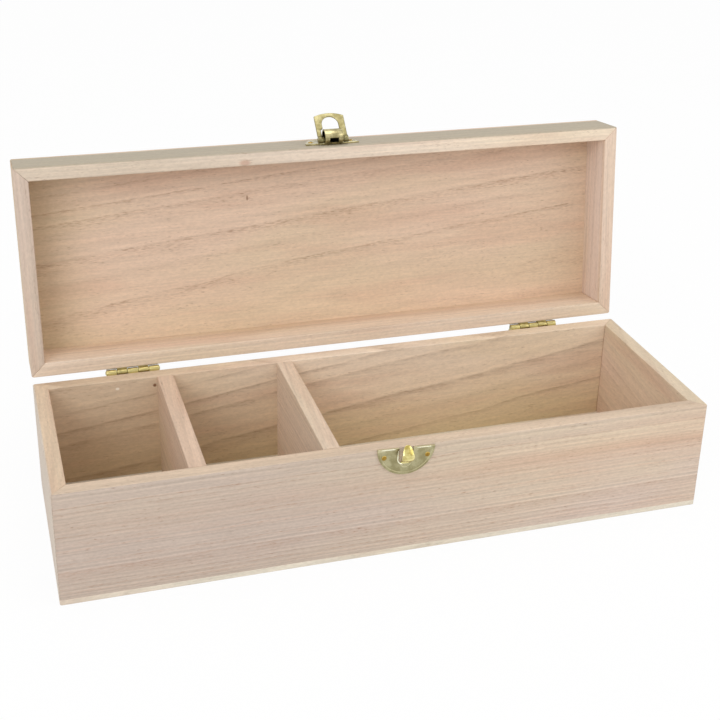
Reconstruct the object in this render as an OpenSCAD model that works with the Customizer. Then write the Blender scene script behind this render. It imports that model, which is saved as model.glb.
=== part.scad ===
// Wooden brush box with three compartments, a hinged lid and a swing clasp.
// The lid is drawn open, as far as its hinge stops let it go.
// The origin is the middle of the underside, with the clasp towards -Y.

/* [Box] */
// Outer width of the box, left to right
box_w = 330; // [260:1:400]
// Outer depth of the box, front to back
box_d = 110; // [90:1:150]
// Height of the body with its bottom panel
body_h = 60; // [45:1:90]
// Thickness of the four body walls
wall_t = 7.5; // [6:0.1:10]
// Thickness of the bottom panel under the walls
bottom_t = 3; // [2:0.1:6]
// Width of the chamfer on every outer edge of the wood
edge_ease = 0.4; // [0.2:0.1:1]

/* [Compartments] */
// Thickness of the two dividers
divider_t = 8.5; // [5:0.1:12]
// Clear width of the left compartment
left_bay_w = 55.5; // [40:0.5:80]
// Clear width of the middle compartment
middle_bay_w = 55.9; // [40:0.1:80]

/* [Lid] */
// Height of the lid with its top panel
lid_h = 25.6; // [20:0.1:40]
// Thickness of the four lid rails
lid_wall_t = 7.2; // [6:0.1:10]
// Thickness of the lid's top panel
lid_panel_t = 3; // [2:0.1:6]
// Gap between the closed lid and the body
rim_gap = 0.3; // [0.1:0.1:1]
// Angle by which the lid stands open
open_angle = 97.1; // [80:0.1:110]

/* [Hinges] */
// Length of each hinge
hinge_len = 27.6; // [20:0.1:40]
// Distance from the left end of the box to the middle of the left hinge
left_hinge_inset = 51.7; // [30:0.1:80]
// Distance from the right end of the box to the middle of the right hinge
right_hinge_inset = 49; // [30:0.1:80]
// Number of knuckles in a hinge
knuckle_count = 5; // [3:2:7]
// Outer radius of a knuckle
knuckle_r = 1.75; // [1.4:0.05:1.9]
// Gap between neighbouring knuckles
knuckle_gap = 0.3; // [0.2:0.05:0.5]
// Radius of the hinge pin
hinge_pin_r = 0.8; // [0.5:0.05:1]
// Radius of the peened ends of the hinge pin
hinge_pin_head_r = 1.3; // [1.1:0.05:1.7]
// Length of each peened end of the hinge pin
hinge_pin_head_t = 0.5; // [0.3:0.1:1]
// Distance from the rear face of the wood to the hinge pin
pin_setback = 2.1; // [2:0.05:2.6]
// Thickness of the hinge leaves
leaf_t = 0.8; // [0.5:0.05:1.1]
// Height of a leaf, measured from the hinge pin
leaf_h = 11; // [10:0.5:15]
// Distance by which a leaf stops short of each end of its hinge
leaf_side_inset = 0.3; // [0.1:0.1:1]
// Distance from the end of a leaf to its nail
leaf_nail_inset = 5; // [3:0.5:8]
// Distance from the hinge pin to the nails of a leaf
leaf_nail_drop = 7; // [5.5:0.5:8]
// Thickness of the stop tabs behind the knuckles
stop_t = 0.7; // [0.4:0.05:1]
// Reach of the stop tabs beyond the knuckles
stop_reach = 2.2; // [1.5:0.1:3]
// Angle of the body's stop tab below the level
stop_angle = 48; // [40:1:55]
// Angle left between the two stop tabs when the lid stands open
stop_slack = 1; // [0.5:0.5:3]

/* [Clasp plates] */
// Radius of the two half-round plates
clasp_r = 14.6; // [13.5:0.1:17]
// Thickness of the plates and of the hook
clasp_t = 0.8; // [0.6:0.05:1]
// Distance from the middle of a plate to each of its nails
clasp_nail_x = 11; // [9:0.1:12]
// Distance from the flat edge of a plate to its nails
clasp_nail_drop = 4.7; // [3:0.1:6]
// Place of the catch plate along the front
catch_x = 1.5; // [-20:0.1:20]
// Depth of the catch plate's flat edge below the rim
catch_drop = 0.3; // [0.2:0.1:3]
// Angle by which the catch plate was nailed on crooked
catch_tilt = 2.5; // [0:0.1:3]
// Distance of the hasp plate to the left of the catch plate
hasp_offset = 0.9; // [0:0.1:1]
// Height of the hasp plate's flat edge above the lid's rim
hasp_lift = 6; // [6:0.1:7]

/* [Hook] */
// Width of the hook
hook_w = 5.6; // [4.5:0.1:6]
// Gap on each side of the hook where it was cut out of the plate
hook_notch_gap = 0.85; // [0.4:0.05:1.5]
// Depth of the hook's root below the flat edge
hook_root = 8.6; // [8:0.1:9]
// Radius at which the hook leaves the plate
hook_bend_r = 2; // [1.5:0.1:2.2]
// Radius of the hook's belly
hook_belly_r = 4; // [3.5:0.1:4.2]
// Angle by which the hook leans out of the plate
hook_lean = 60; // [50:1:65]
// Angle by which the hook's tip turns back
hook_return = 30; // [20:1:40]
// Straight length between the hook's bend and its belly
hook_slope = 1.8; // [1:0.1:2]
// Straight length from the hook's belly to its tip
hook_tip = 2.7; // [1:0.1:3]

/* [Loop] */
// Height of the loop's pivot above the lid's rim
pivot_lift = 5.2; // [5.1:0.1:6]
// Distance of the loop's pivot out of the lid's front
pivot_out = 2.9; // [2.8:0.1:3.4]
// Outer radius of the hasp plate's rolled eye
eye_r = 4.1; // [3.9:0.05:4.2]
// Angle above straight out at which the middle of the roll lies from the loop's pivot
eye_lean = 32; // [20:1:45]
// Length of the rolled eye
eye_w = 9.8; // [9:0.1:10.5]
// Width of the window in the roll
eye_window_w = 4.8; // [3:0.1:5.2]
// Height of the window in the roll
eye_window_h = 2.5; // [1.5:0.1:3]
// Radius of the loop's pivot stubs
stub_r = 1.7; // [1.2:0.05:1.8]
// Length of the loop's pivot stubs inside the eye
stub_len = 2.1; // [1.5:0.1:2.6]
// Outer radius of the loop's round leg ends
leg_end_r = 1.95; // [1.9:0.05:2]
// Gap between the rolled eye and each leg of the loop
leg_gap = 0.9; // [0.2:0.05:1.2]
// Outer width of the loop
loop_w = 16.4; // [15:0.1:19]
// Distance from the pivot to the loop's far end
loop_len = 15.6; // [15.5:0.1:17]
// Rise of the loop's arched far end
loop_arch = 1.7; // [0.5:0.1:2.5]
// Thickness of the loop
loop_t = 0.9; // [0.6:0.05:1.1]
// Width of the bar at the loop's far end
loop_bar = 2.2; // [1.5:0.1:2.2]
// Width of the loop's arched window
loop_window_w = 9; // [8.8:0.1:9.8]
// Distance from the pivot at which the legs become wider
leg_step = 6; // [4:0.1:7]
// Angle by which the loop stands out from hanging straight down
loop_swing = 128; // [0:1:180]

/* [Nails] */
// Radius of a nail's shank
nail_r = 0.6; // [0.4:0.05:0.8]
// Length of a nail below its head
nail_len = 5.5; // [4:0.5:6]
// Radius of a nail's head
nail_head_r = 1.3; // [1:0.05:1.8]
// Height of a nail's head
nail_head_t = 0.45; // [0.3:0.05:1]
// Share of a nail head's radius that is left at its crown
nail_crown = 0.7; // [0.5:0.05:0.9]

/* [Fits] */
// Radial clearance of the hinge pins and pivot stubs
pin_fit = 0.06; // [0.02:0.01:0.1]
// Radial clearance of the nails in their holes
nail_fit = 0.03; // [0.02:0.01:0.1]

/* [Hidden] */
$fn = 48;

wood = "#dcc0a2";
wood_end = "#d2b08c";
brass = "#c9b96e";
nail_brass = "#a8843c";

// A length that makes a cut pass cleanly through a face
cut = 1;
rear_y = box_d / 2;
front_y = -box_d / 2;
lid_z = body_h + rim_gap;
pin_y = rear_y + pin_setback;
pin_z = body_h + rim_gap / 2;
hinge_xs = [-box_w / 2 + left_hinge_inset, box_w / 2 - right_hinge_inset];
knuckle_pitch = (hinge_len + knuckle_gap) / knuckle_count;
knuckle_len = knuckle_pitch - knuckle_gap;
knuckle_bore_r = hinge_pin_r + pin_fit;
leaf_w = hinge_len - 2 * leaf_side_inset;
// The stretch of leaf that carries a knuckle reaches this far down, into the leaf's plate
leaf_root_h = knuckle_r + knuckle_gap + leaf_t;
leaf_nail_xs = [-hinge_len / 2 + leaf_nail_inset, hinge_len / 2 - leaf_nail_inset];
left_divider_x = -box_w / 2 + wall_t + left_bay_w;
right_divider_x = left_divider_x + divider_t + middle_bay_w;
hasp_x = catch_x - hasp_offset;
nail_hole_r = nail_r + nail_fit;
leg_inner = eye_w / 2 + leg_gap;
eye_bore_r = eye_r - clasp_t;
// The pivot stubs lie against the inside of the roll
eye_offset = eye_bore_r - stub_r - pin_fit;
loop_arch_r = (pow(loop_w / 2, 2) + pow(loop_arch, 2)) / (2 * loop_arch);
window_r = loop_window_w / 2;
window_z = loop_len - loop_bar - window_r;

// Point on a circle at an angle
function on_circle(centre, r, angle) = centre + r * [cos(angle), sin(angle)];

// Points along an arc of a circle, from one angle to another
function arc(centre, r, from, to, steps = 12) =
    [for (i = [0 : steps]) on_circle(centre, r, from + (to - from) * i / steps)];

// Places a shape of the closed lid where the open lid holds it
module in_lid() {
    translate([0, pin_y, pin_z])
        rotate([-open_angle, 0, 0])
            translate([0, -pin_y, -pin_z])
                children();
}

// Board along X with its outer face at Y = 0, mitred at both ends, with eased outer edges.
// ease_low and ease_high say which of its long edges are eased.
module mitred_board(length, height, thick, ease_low, ease_high) {
    low = ease_low ? edge_ease : 0;
    high = ease_high ? edge_ease : 0;
    half = length / 2;
    intersection() {
        rotate([90, 0, 90])
            linear_extrude(height = length + 2 * cut, center = true)
                polygon([
                    [low, 0], [thick, 0], [thick, height - high], [thick - high, height],
                    [high, height], [0, height - high], [0, low]
                ]);
        linear_extrude(height = height)
            polygon([
                [-half + edge_ease, 0], [half - edge_ease, 0], [half - edge_ease / 2, edge_ease / 2],
                [half - thick, thick], [-half + thick, thick], [-half + edge_ease / 2, edge_ease / 2]
            ]);
    }
}

// One side of a frame of mitred boards: 0 is the front, 1 the right, 2 the back and 3 the left
module frame_side(side, height, thick, ease_low, ease_high) {
    across = side % 2 == 0;
    rotate([0, 0, 90 * side])
        translate([0, -(across ? box_d : box_w) / 2, 0])
            mitred_board(across ? box_w : box_d, height, thick, ease_low, ease_high);
}

// Rectangle with its four corners cut by the edge chamfer
module eased_rectangle(w, d) {
    polygon([
        [-w / 2 + edge_ease, -d / 2], [w / 2 - edge_ease, -d / 2],
        [w / 2, -d / 2 + edge_ease], [w / 2, d / 2 - edge_ease],
        [w / 2 - edge_ease, d / 2], [-w / 2 + edge_ease, d / 2],
        [-w / 2, d / 2 - edge_ease], [-w / 2, -d / 2 + edge_ease]
    ]);
}

// Profile of a thin panel with its two upper edges eased
module eased_profile(w, t) {
    polygon([
        [-w / 2, 0], [w / 2, 0], [w / 2, t - edge_ease],
        [w / 2 - edge_ease, t], [-w / 2 + edge_ease, t], [-w / 2, t - edge_ease]
    ]);
}

// Panel of the box's outline, standing on Z = 0, with eased upper edges
module eased_panel(t) {
    intersection() {
        linear_extrude(height = t)
            eased_rectangle(box_w, box_d);
        rotate([90, 0, 0])
            linear_extrude(height = box_d + 2 * cut, center = true)
                eased_profile(box_w, t);
        rotate([90, 0, 90])
            linear_extrude(height = box_w + 2 * cut, center = true)
                eased_profile(box_d, t);
    }
}

// Nail with its head on Z = 0 and its shank below
module nail() {
    translate([0, 0, -nail_len])
        cylinder(r = nail_r, h = nail_len);
    cylinder(r1 = nail_head_r, r2 = nail_head_r * nail_crown, h = nail_head_t);
}

// Hole for a nail that is driven from Z = 0 down
module nail_hole() {
    translate([0, 0, -nail_len - nail_fit])
        cylinder(r = nail_hole_r, h = nail_len + nail_fit + cut);
}

// The nails of one leaf of both hinges: way is -1 on the body and 1 on the lid
module at_leaf_nails(way) {
    for (x = hinge_xs, nail_x = leaf_nail_xs)
        translate([x + nail_x, rear_y + leaf_t, pin_z + way * leaf_nail_drop])
            rotate([-90, 0, 0])
                children();
}

// The two nails of the catch plate
module at_catch_nails() {
    at_catch()
        for (side = [-1, 1])
            translate([side * clasp_nail_x, -clasp_t, -clasp_nail_drop])
                rotate([90, 0, 0])
                    children();
}

// The two nails of the hasp plate on the closed lid
module at_hasp_nails() {
    at_hasp()
        for (side = [-1, 1])
            translate([side * clasp_nail_x, -clasp_t, clasp_nail_drop])
                rotate([90, 0, 0])
                    children();
}

// Middle of the catch plate's flat edge on the front of the body
module at_catch() {
    translate([catch_x, front_y, body_h - catch_drop])
        rotate([0, catch_tilt, 0])
            children();
}

// Middle of the hasp plate's flat edge on the front of the closed lid
module at_hasp() {
    translate([hasp_x, front_y, lid_z + hasp_lift])
        children();
}

module bottom_panel() {
    color(wood_end)
        translate([0, 0, bottom_t])
            mirror([0, 0, 1])
                eased_panel(bottom_t);
}

module front_wall() {
    color(wood)
        difference() {
            translate([0, 0, bottom_t])
                frame_side(0, body_h - bottom_t, wall_t, false, true);
            at_catch_nails()
                nail_hole();
        }
}

module back_wall() {
    color(wood)
        difference() {
            translate([0, 0, bottom_t])
                frame_side(2, body_h - bottom_t, wall_t, false, true);
            at_leaf_nails(-1)
                nail_hole();
        }
}

module left_wall() {
    color(wood)
        translate([0, 0, bottom_t])
            frame_side(3, body_h - bottom_t, wall_t, false, true);
}

module right_wall() {
    color(wood)
        translate([0, 0, bottom_t])
            frame_side(1, body_h - bottom_t, wall_t, false, true);
}

// Divider whose left face is at x
module divider(x) {
    color(wood)
        translate([x, 0, bottom_t])
            rotate([90, 0, 0])
                linear_extrude(height = box_d - 2 * wall_t, center = true)
                    polygon([
                        [0, 0], [divider_t, 0], [divider_t, body_h - bottom_t - edge_ease],
                        [divider_t - edge_ease, body_h - bottom_t], [edge_ease, body_h - bottom_t],
                        [0, body_h - bottom_t - edge_ease]
                    ]);
}

module left_divider() {
    divider(left_divider_x);
}

module right_divider() {
    divider(right_divider_x);
}

// Stop tab that runs along the hinge behind the knuckles.
// Its upper face points through the pin's axis at the given angle, and inner is where it starts.
module stop_tab(angle, inner, length) {
    rotate([angle, 0, 0])
        translate([0, inner, -stop_t])
            cube([length, knuckle_r + knuckle_gap + stop_reach - inner, stop_t]);
}

// Hinge leaf around the pin's axis, with its plate below and every second knuckle from first on
module hinge_leaf(first, tab_angle) {
    color(brass)
        difference() {
            union() {
                translate([-leaf_w / 2, -pin_setback, -leaf_h])
                    cube([leaf_w, leaf_t, leaf_h - knuckle_r - knuckle_gap]);
                translate([-leaf_w / 2, 0, 0])
                    stop_tab(tab_angle, knuckle_r + knuckle_gap, leaf_w);
                for (i = [first : 2 : knuckle_count - 1])
                    translate([-hinge_len / 2 + i * knuckle_pitch, 0, 0]) {
                        translate([0, -pin_setback, -leaf_root_h])
                            cube([knuckle_len, leaf_t, leaf_root_h]);
                        rotate([0, 90, 0])
                            cylinder(r = knuckle_r, h = knuckle_len);
                        translate([leaf_side_inset, 0, 0])
                            stop_tab(tab_angle, hinge_pin_r, knuckle_len - 2 * leaf_side_inset);
                    }
            }
            rotate([0, 90, 0])
                cylinder(r = knuckle_bore_r, h = hinge_len + 2 * cut, center = true);
            for (x = leaf_nail_xs)
                translate([x, 0, -leaf_nail_drop])
                    rotate([90, 0, 0])
                        cylinder(r = nail_hole_r, h = pin_setback + cut);
        }
}

module body_leaf(x) {
    translate([x, pin_y, pin_z])
        hinge_leaf(0, -stop_angle);
}

// On the closed lid this leaf is the body's leaf turned upside down
module lid_leaf(x) {
    in_lid()
        translate([x, pin_y, pin_z])
            mirror([0, 0, 1])
                hinge_leaf(1, stop_angle - open_angle - stop_slack);
}

module hinge_pin(x) {
    color(nail_brass)
        translate([x, pin_y, pin_z])
            rotate([0, 90, 0]) {
                cylinder(r = hinge_pin_r, h = hinge_len, center = true);
                for (end = [0, 1])
                    mirror([0, 0, end])
                        translate([0, 0, hinge_len / 2])
                            cylinder(r1 = hinge_pin_head_r, r2 = hinge_pin_r, h = hinge_pin_head_t);
            }
}

module left_hinge_body_leaf() {
    body_leaf(hinge_xs[0]);
}

module right_hinge_body_leaf() {
    body_leaf(hinge_xs[1]);
}

module left_hinge_pin() {
    hinge_pin(hinge_xs[0]);
}

module right_hinge_pin() {
    hinge_pin(hinge_xs[1]);
}

module left_hinge_lid_leaf() {
    lid_leaf(hinge_xs[0]);
}

module right_hinge_lid_leaf() {
    lid_leaf(hinge_xs[1]);
}

module body_hinge_nails() {
    color(nail_brass)
        at_leaf_nails(-1)
            nail();
}

module lid_hinge_nails() {
    color(nail_brass)
        in_lid()
            at_leaf_nails(1)
                nail();
}

// Half-round plate below a flat edge, with its two nail holes
module half_round() {
    difference() {
        intersection() {
            circle(r = clasp_r, $fn = 96);
            translate([-clasp_r, -clasp_r])
                square([2 * clasp_r, clasp_r]);
        }
        for (side = [-1, 1])
            translate([side * clasp_nail_x, -clasp_nail_drop])
                circle(r = nail_hole_r);
    }
}

// Side profile of the hook: X is the distance out of the front and Y the height over the flat edge
module hook_profile() {
    half = clasp_t / 2;
    slope_way = [sin(hook_lean), cos(hook_lean)];
    tip_way = [-sin(hook_return), cos(hook_return)];
    bend = [half + hook_bend_r, -hook_root];
    slope_end = on_circle(bend, hook_bend_r, 180 - hook_lean) + hook_slope * slope_way;
    belly = on_circle(slope_end, hook_belly_r, 180 - hook_lean);
    tip = on_circle(belly, hook_belly_r, hook_return) + hook_tip * tip_way;
    polygon(concat(
        arc(bend, hook_bend_r + half, 180, 180 - hook_lean),
        arc(belly, hook_belly_r - half, -hook_lean, hook_return),
        arc(tip, half, 180 + hook_return, hook_return),
        arc(belly, hook_belly_r + half, hook_return, -hook_lean),
        arc(bend, hook_bend_r - half, 180 - hook_lean, 180)
    ));
}

module catch_plate() {
    notch_w = hook_w + 2 * hook_notch_gap;
    color(brass)
        at_catch() {
            rotate([90, 0, 0])
                linear_extrude(height = clasp_t)
                    difference() {
                        half_round();
                        translate([-notch_w / 2, -hook_root])
                            square([notch_w, hook_root + cut]);
                    }
            rotate([90, 0, -90])
                linear_extrude(height = hook_w, center = true)
                    hook_profile();
        }
}

module catch_nails() {
    color(nail_brass)
        at_catch_nails()
            nail();
}

module lid_panel() {
    color(wood_end)
        in_lid()
            translate([0, 0, lid_z + lid_h - lid_panel_t])
                eased_panel(lid_panel_t);
}

// One side of the lid's frame, in the same order as the sides of the body
module lid_rail(side) {
    translate([0, 0, lid_z + lid_h - lid_panel_t])
        mirror([0, 0, 1])
            frame_side(side, lid_h - lid_panel_t, lid_wall_t, false, true);
}

module lid_front_rail() {
    color(wood)
        in_lid()
            difference() {
                lid_rail(0);
                at_hasp_nails()
                    nail_hole();
            }
}

module lid_back_rail() {
    color(wood)
        in_lid()
            difference() {
                lid_rail(2);
                at_leaf_nails(1)
                    nail_hole();
            }
}

module lid_left_rail() {
    color(wood)
        in_lid()
            lid_rail(3);
}

module lid_right_rail() {
    color(wood)
        in_lid()
            lid_rail(1);
}

// Half-round plate over the flat edge, whose tongue is rolled into the eye that holds the loop
module hasp_plate() {
    tongue_h = hasp_lift - pivot_lift;
    eye_out = pivot_out + eye_offset * cos(eye_lean);
    eye_z = eye_offset * sin(eye_lean) - tongue_h;
    color(brass)
        in_lid()
            at_hasp()
                difference() {
                    union() {
                        rotate([90, 0, 0])
                            linear_extrude(height = clasp_t)
                                mirror([0, 1])
                                    half_round();
                        translate([-eye_w / 2, -clasp_t, -tongue_h])
                            cube([eye_w, clasp_t, tongue_h + clasp_t]);
                        translate([0, -eye_out, eye_z])
                            rotate([0, 90, 0])
                                cylinder(r = eye_r, h = eye_w, center = true);
                    }
                    translate([0, -eye_out, eye_z])
                        rotate([0, 90, 0])
                            cylinder(r = eye_bore_r, h = eye_w + 2 * cut, center = true);
                    translate([-eye_window_w / 2, -pivot_out - eye_window_h / 2, eye_z - eye_r - cut])
                        cube([eye_window_w, eye_window_h, eye_r + cut]);
                }
}

module hasp_nails() {
    color(nail_brass)
        in_lid()
            at_hasp_nails()
                nail();
}

// Outline of the loop below its pivot: an arched frame with an arched window between two legs
module loop_outline() {
    difference() {
        intersection() {
            translate([-loop_w / 2, -loop_len])
                square([loop_w, loop_len]);
            translate([0, loop_arch_r - loop_len])
                circle(r = loop_arch_r, $fn = 180);
        }
        translate([0, -window_z])
            circle(r = window_r);
        translate([-window_r, -window_z])
            square([loop_window_w, window_z + cut]);
        translate([-leg_inner, -leg_step])
            square([2 * leg_inner, leg_step + cut]);
    }
}

module clasp_loop() {
    color(brass)
        in_lid()
            translate([hasp_x, front_y - pivot_out, lid_z + pivot_lift])
                rotate([-loop_swing, 0, 0]) {
                    rotate([90, 0, 0])
                        linear_extrude(height = loop_t, center = true)
                            loop_outline();
                    for (side = [0, 1])
                        mirror([side, 0, 0])
                            rotate([0, 90, 0]) {
                                translate([0, 0, leg_inner])
                                    cylinder(r = leg_end_r, h = loop_w / 2 - leg_inner);
                                translate([0, 0, eye_w / 2 - stub_len])
                                    cylinder(r = stub_r, h = stub_len + leg_gap + cut);
                            }
                }
}

bottom_panel();
front_wall();
back_wall();
left_wall();
right_wall();
left_divider();
right_divider();
left_hinge_body_leaf();
right_hinge_body_leaf();
left_hinge_pin();
right_hinge_pin();
body_hinge_nails();
catch_plate();
catch_nails();
lid_panel();
lid_front_rail();
lid_back_rail();
lid_left_rail();
lid_right_rail();
left_hinge_lid_leaf();
right_hinge_lid_leaf();
lid_hinge_nails();
hasp_plate();
hasp_nails();
clasp_loop();
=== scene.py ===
"""Looks of the wooden brush box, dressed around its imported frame.

The boards, nails, pins, the catch plate and the loop are new surfaces worked out with numpy. The
hinge leaves and the hasp plate are softened copies of their solids, the plate with a raised line.
"""
import logging
import math
from dataclasses import dataclass
from enum import Enum
from typing import Optional, Sequence, Union

import bmesh
import bpy
import numpy as np
from mathutils import Matrix, Vector


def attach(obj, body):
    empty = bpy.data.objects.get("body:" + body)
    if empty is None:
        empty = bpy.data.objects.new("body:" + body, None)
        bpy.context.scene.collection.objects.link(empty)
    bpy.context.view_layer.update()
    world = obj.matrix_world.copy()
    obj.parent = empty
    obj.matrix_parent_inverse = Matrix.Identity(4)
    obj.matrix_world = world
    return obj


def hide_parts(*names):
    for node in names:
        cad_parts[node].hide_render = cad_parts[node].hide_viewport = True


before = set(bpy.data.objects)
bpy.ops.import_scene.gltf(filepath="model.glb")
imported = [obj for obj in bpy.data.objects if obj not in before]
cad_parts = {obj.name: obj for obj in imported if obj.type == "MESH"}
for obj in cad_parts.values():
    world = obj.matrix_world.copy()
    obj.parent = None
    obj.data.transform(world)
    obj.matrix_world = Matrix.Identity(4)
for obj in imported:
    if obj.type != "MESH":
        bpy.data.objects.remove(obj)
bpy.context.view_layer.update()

MM = 0.001
WHITE = (1.0, 1.0, 1.0, 1.0)
# Bends in degrees that look smooth, in a new mesh and in a copied one.
SMOOTH_NEW = 35.0
SMOOTH_COPY = 40.0
LOG = logging.getLogger("brush_box")

# A colour is its red, green and blue on the screen, from 0 to 255.
Colour = tuple[float, float, float]
Point = tuple[float, float, float]
Socket = bpy.types.NodeSocket
Input = Union[Socket, float, Sequence[float]]


class Side(Enum):
    """Sides of a frame of mitred boards, counted in quarter turns from the front."""

    FRONT = 0
    RIGHT = 1
    BACK = 2
    LEFT = 3


class Slot(Enum):
    """Material slots of the record."""

    WOOD = "wood"
    BRASS = "brass"
    NAIL = "nail"


class Body(Enum):
    """Moving bodies of the frame."""

    BOX = "box"
    LID = "lid"
    LOOP = "loop"


def tint(colour: Colour) -> tuple[float, ...]:
    """Turn a screen colour into the linear one that a shader wants.

    Args:
        colour: The screen colour.

    Returns:
        Its linear red, green and blue, and a full alpha.
    """
    share = np.array(colour) / 255.0
    linear = np.where(share <= 0.04045, share / 12.92, ((share + 0.055) / 1.055) ** 2.4)
    return (*linear.tolist(), 1.0)


def shift(x: float = 0.0, y: float = 0.0, z: float = 0.0) -> Matrix:
    """Matrix of a shift."""
    return Matrix.Translation((x, y, z))


def spin(degrees: float, axis: str) -> Matrix:
    """Matrix of a turn about an axis through the origin."""
    return Matrix.Rotation(math.radians(degrees), 4, axis)


def rays(angle: np.ndarray) -> np.ndarray:
    """Unit directions at angles in radians, as their cosine and sine."""
    return np.stack([np.cos(angle), np.sin(angle)], axis=-1)


def full_turn(steps: int) -> np.ndarray:
    """Angles of evenly spaced steps all the way round."""
    return np.linspace(0, 2 * np.pi, steps, endpoint=False)


def standing(flat: np.ndarray, level: np.ndarray) -> np.ndarray:
    """Points given across and up, stood upright at their level along Y."""
    return np.stack([flat[..., 0], np.broadcast_to(level, flat.shape[:-1]), flat[..., 1]], axis=-1)


@dataclass(frozen=True)
class Dimensions:
    """Sizes that several sub-assemblies share, in millimetres, as the solids have them."""

    width: float = 330.0
    depth: float = 110.0
    body_height: float = 60.0
    wall: float = 7.5
    bottom: float = 3.0
    lid_height: float = 25.6
    lid_wall: float = 7.2
    rim_gap: float = 0.3
    open_angle: float = 97.1
    pin_setback: float = 2.1

    @property
    def lid_z(self) -> float:
        """Height of the closed lid's rim."""
        return self.body_height + self.rim_gap

    @property
    def pin_y(self) -> float:
        """Place of the hinge pins behind the middle."""
        return self.depth / 2 + self.pin_setback

    @property
    def pin_z(self) -> float:
        """Height of the hinge pins."""
        return self.body_height + self.rim_gap / 2

    def open_lid(self) -> Matrix:
        """Matrix in millimetres that turns the closed lid about its pins to where it stands open."""
        pin = shift(0.0, self.pin_y, self.pin_z)
        return pin @ spin(-self.open_angle, "X") @ pin.inverted()


SIZES = Dimensions()


class Shell:
    """Closed surfaces gathered into one mesh, in millimetres."""

    def __init__(self) -> None:
        """Start without any surface."""
        self.points: list[np.ndarray] = []
        self.faces: list[list[int]] = []
        self.finishes: list[int] = []
        self.count = 0

    def loft(self, rows: np.ndarray, place: Matrix, finish: int = 0) -> None:
        """Add a closed tube through rings of points, with a flat face over each end.

        The quad between rings i and i + 1 and points j and j + 1 takes these four corners. The sign
        of the enclosed volume says whether all faces have to be turned round.

        Args:
            rows: Array of rings, each a closed loop of points, shaped (rings, points, 3).
            place: Matrix that puts the tube in its place, in millimetres.
            finish: Number of the finish that its faces take.
        """
        rings, around = rows.shape[:2]
        index = np.arange(rings * around).reshape(rings, around)
        following = np.roll(index, -1, axis=1)
        quads = np.stack([index[:-1], following[:-1], following[1:], index[1:]], axis=-1).reshape(-1, 4)
        points = rows.reshape(-1, 3) @ np.array(place.to_3x3()).T + np.array(place.translation)
        faces = quads.tolist() + [index[0][::-1].tolist(), index[-1].tolist()]
        corners, middle = points[quads], points.mean(axis=0)
        outward = np.cross(corners[:, 2] - corners[:, 0], corners[:, 3] - corners[:, 1])
        volume = float(np.einsum("ij,ij->", outward, corners.mean(axis=1) - middle))
        for end in (points[index[0][::-1]], points[index[-1]]):
            volume += self._end_volume(end, end.mean(axis=0) - middle)
        if volume < 0:
            faces = [face[::-1] for face in faces]
        self.faces += [[corner + self.count for corner in face] for face in faces]
        self.finishes += [finish] * len(faces)
        self.points.append(points)
        self.count += len(points)

    @staticmethod
    def _end_volume(ring: np.ndarray, reach: np.ndarray) -> float:
        """Twice the area vector of an end face times its distance from the middle."""
        area = np.cross(ring, np.roll(ring, -1, axis=0)).sum(axis=0)
        return float(area @ reach)

    def revolve(self, outline: Sequence[tuple[float, float]], place: Matrix, steps: int) -> None:
        """Add a body of revolution about X: radius is a function of the place along X.

        Args:
            outline: Pairs of place along X and radius there.
            place: Matrix that puts the body in its place, in millimetres.
            steps: Number of points around.
        """
        along, radius = np.array(outline, float).T[..., None]
        ring = radius[..., None] * rays(full_turn(steps))
        rows = np.stack([np.repeat(along, steps, axis=1), ring[..., 0], ring[..., 1]], axis=-1)
        self.loft(rows, place)

    def mesh(self, name: str) -> bpy.types.Mesh:
        """Make the mesh in metres, smooth where it bends little.

        Args:
            name: Name of the mesh.

        Returns:
            The new mesh.
        """
        mesh = bpy.data.meshes.new(name)
        mesh.from_pydata((np.concatenate(self.points) * MM).tolist(), [], self.faces)
        mesh.polygons.foreach_set("material_index", self.finishes)
        mesh.validate()
        mesh.shade_smooth()
        mesh.set_sharp_from_angle(angle=math.radians(SMOOTH_NEW))
        return mesh


def hang(mesh: bpy.types.Mesh, node: str, body: Body, slot: Slot, *materials: bpy.types.Material) -> None:
    """Put a finished mesh into the scene in place of a node's solid.

    Args:
        mesh: The piece's mesh, in place.
        node: Node that it stands for.
        body: Body that it rides on.
        slot: Slot of the record that its finish comes from; not used.
        *materials: Its materials, in the order of its finish numbers.
    """
    piece = bpy.data.objects.new(node + "_piece", mesh)
    bpy.context.scene.collection.objects.link(piece)
    for material in materials:
        mesh.materials.append(material)
    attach(piece, body.value)
    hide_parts(node)
    LOG.info("%s rides on %s, %d faces", piece.name, body.value, len(mesh.polygons))


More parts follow.
